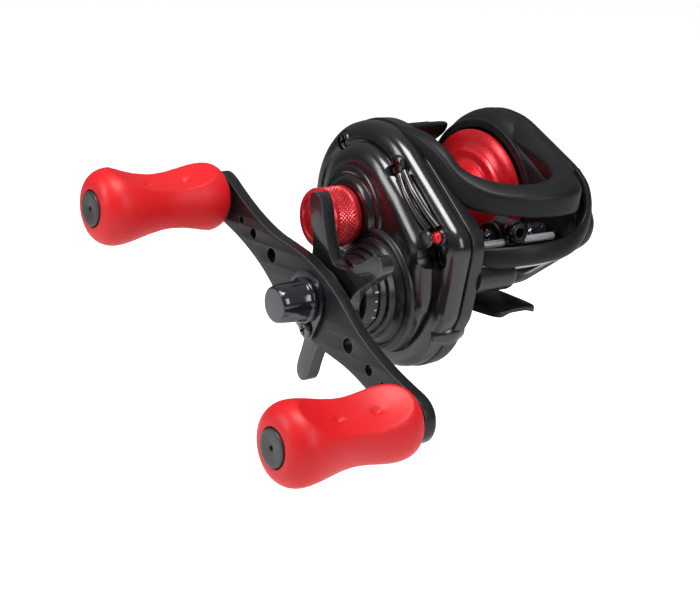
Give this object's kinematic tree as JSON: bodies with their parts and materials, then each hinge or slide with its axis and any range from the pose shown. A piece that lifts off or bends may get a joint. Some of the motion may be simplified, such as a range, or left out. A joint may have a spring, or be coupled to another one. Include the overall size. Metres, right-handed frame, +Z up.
{
  "type": "baitcasting reel",
  "caption": "Low-profile baitcasting fishing reel with double-knob handle, star drag, geared spool, level-wind guide, thumb bar clutch and cast-control cap, built as separate parts.",
  "frame": {"origin": "middle of the flat seat face under the foot, below the spool axis", "axes": "+X towards the handle side along the spool axis, +Y the way the line leaves, +Z up; the seat face looks down"},
  "size_m": [0.1041, 0.092, 0.0635],
  "materials": {
    "frame": "moulded black composite, satin",
    "hood": "soft-touch matte black",
    "cover": "glossy black moulded shell",
    "red_anodised": "red anodised aluminium",
    "knob_rubber": "bright red soft-touch rubber",
    "knob_cap": "dark matte plastic plug",
    "arm": "dark grey satin anodised plate",
    "gloss_black_metal": "glossy black plated",
    "steel": "bright stainless steel",
    "brass": "machined brass",
    "carbon": "woven carbon drag washer",
    "gear_plastic": "black moulded gear plastic"
  },
  "bodies": {
    "reel_frame": {"frame": "frame", "top_hood": "hood", "palm_side_cover": "hood", "handle_side_cover": "cover", "cover_screw_top": "gloss_black_metal", "cover_screw_mid": "gloss_black_metal", "cover_screw_front": "gloss_black_metal", "hook_keeper_pin": "red_anodised", "spool_bearing_left": "steel", "spool_bearing_right": "steel", "yoke_post_a": "steel", "yoke_post_b": "steel", "yoke_spring_a": "steel", "yoke_spring_b": "steel", "main_shaft_bearing": "steel", "anti_reverse_bearing": "steel", "worm_bush_right": "gear_plastic", "worm_bush_left": "gear_plastic", "line_guide_rail": "steel", "tension_shim": "brass"},
    "handle": {"drive_shaft": "steel", "worm_drive_gear": "gear_plastic", "drag_pressure_plate": "steel", "drag_sleeve": "steel", "handle_arm": "arm", "handle_nut": "gloss_black_metal", "nut_retainer": "gloss_black_metal", "retainer_screw": "steel", "knob_post_front": "steel", "knob_post_rear": "steel"},
    "front_knob": {"handle_knob_front": "knob_rubber", "knob_cap_front": "knob_cap"},
    "rear_knob": {"handle_knob_rear": "knob_rubber", "knob_cap_rear": "knob_cap"},
    "star": {"star_drag": "gloss_black_metal"},
    "star_nut": {"drag_nut": "brass"},
    "main_gear": {"drive_gear": "brass", "drag_washer_inner": "carbon", "drag_washer_outer": "carbon"},
    "spool_body": {"spool": "red_anodised", "spool_shaft": "steel"},
    "yoke": {"clutch_yoke": "gear_plastic"},
    "pinion_body": {"pinion": "brass"},
    "thumb": {"thumb_bar": "hood", "clutch_cam": "steel"},
    "worm": {"worm_shaft": "steel", "worm_gear": "gear_plastic"},
    "guide": {"line_guide": "cover", "guide_insert": "steel"},
    "tension": {"tension_knob": "red_anodised"},
    "dial": {"brake_dial": "red_anodised"},
    "magnets": {"magnet_holder": "gear_plastic"}
  },
  "joints": [
    {"name": "handle_spin", "type": "hinge", "parent": "reel_frame", "child": "handle", "pos_m": [0.03, 0.0094, 0.00386], "axis": [1, 0, 0], "continuous": true},
    {"name": "front_knob_spin", "type": "hinge", "parent": "handle", "child": "front_knob", "pos_m": [0.06, 0.0465, -0.01347], "axis": [1, 0, 0], "continuous": true},
    {"name": "rear_knob_spin", "type": "hinge", "parent": "handle", "child": "rear_knob", "pos_m": [0.06, -0.0277, 0.02119], "axis": [1, 0, 0], "continuous": true},
    {"name": "star_drag_turn", "type": "hinge", "parent": "handle", "child": "star", "pos_m": [0.037, 0.0094, 0.00386], "axis": [1, 0, 0], "range_deg": [-180, 180]},
    {"name": "drag_nut_slide", "type": "slide", "parent": "handle", "child": "star_nut", "axis": [1, 0, 0], "range_m": [-0.00029695, 0.00029695]},
    {"name": "main_gear_spin", "type": "hinge", "parent": "reel_frame", "child": "main_gear", "pos_m": [0.018, 0.0094, 0.00386], "axis": [1, 0, 0], "continuous": true},
    {"name": "spool_spin", "type": "hinge", "parent": "reel_frame", "child": "spool_body", "pos_m": [0, 0, 0.0195], "axis": [1, 0, 0], "continuous": true},
    {"name": "thumb_bar_press", "type": "slide", "parent": "reel_frame", "child": "thumb", "axis": [0, -0.766, -0.6428], "range_m": [0, 0.004]},
    {"name": "clutch_yoke_slide", "type": "slide", "parent": "reel_frame", "child": "yoke", "axis": [1, 0, 0], "range_m": [0, 0.001], "deforming": ["yoke_spring_a", "yoke_spring_b"]},
    {"name": "pinion_spin", "type": "hinge", "parent": "yoke", "child": "pinion_body", "pos_m": [0.018, 0, 0.0195], "axis": [1, 0, 0], "continuous": true},
    {"name": "worm_spin", "type": "hinge", "parent": "reel_frame", "child": "worm", "pos_m": [0, 0.02339, 0.01589], "axis": [1, 0, 0], "continuous": true},
    {"name": "line_guide_slide", "type": "slide", "parent": "reel_frame", "child": "guide", "axis": [1, 0, 0], "range_m": [-0.009, 0.009]},
    {"name": "tension_knob_turn", "type": "hinge", "parent": "reel_frame", "child": "tension", "pos_m": [0.03, 0, 0.0195], "axis": [1, 0, 0], "range_deg": [-180, 180]},
    {"name": "brake_dial_turn", "type": "hinge", "parent": "reel_frame", "child": "dial", "pos_m": [-0.025, 0.0055, 0.0105], "axis": [1, 0, 0], "range_deg": [-1, 271]},
    {"name": "magnet_slide", "type": "slide", "parent": "reel_frame", "child": "magnets", "axis": [1, 0, 0], "range_m": [-0.0009, 0]}
  ],
  "couplings": [
    {"joint": "main_gear_spin", "follows": "handle_spin", "ratio": 1},
    {"joint": "spool_spin", "follows": "handle_spin", "ratio": -6.4167},
    {"joint": "pinion_spin", "follows": "handle_spin", "ratio": -6.4167},
    {"joint": "worm_spin", "follows": "handle_spin", "ratio": -1.4118},
    {"joint": "star_drag_turn", "follows": "drag_nut_slide", "rad_per_m": -10578},
    {"joint": "clutch_yoke_slide", "follows": "thumb_bar_press", "ratio": 0.24},
    {"joint": "brake_dial_turn", "follows": "magnet_slide", "rad_per_m": -5236}
  ]
}
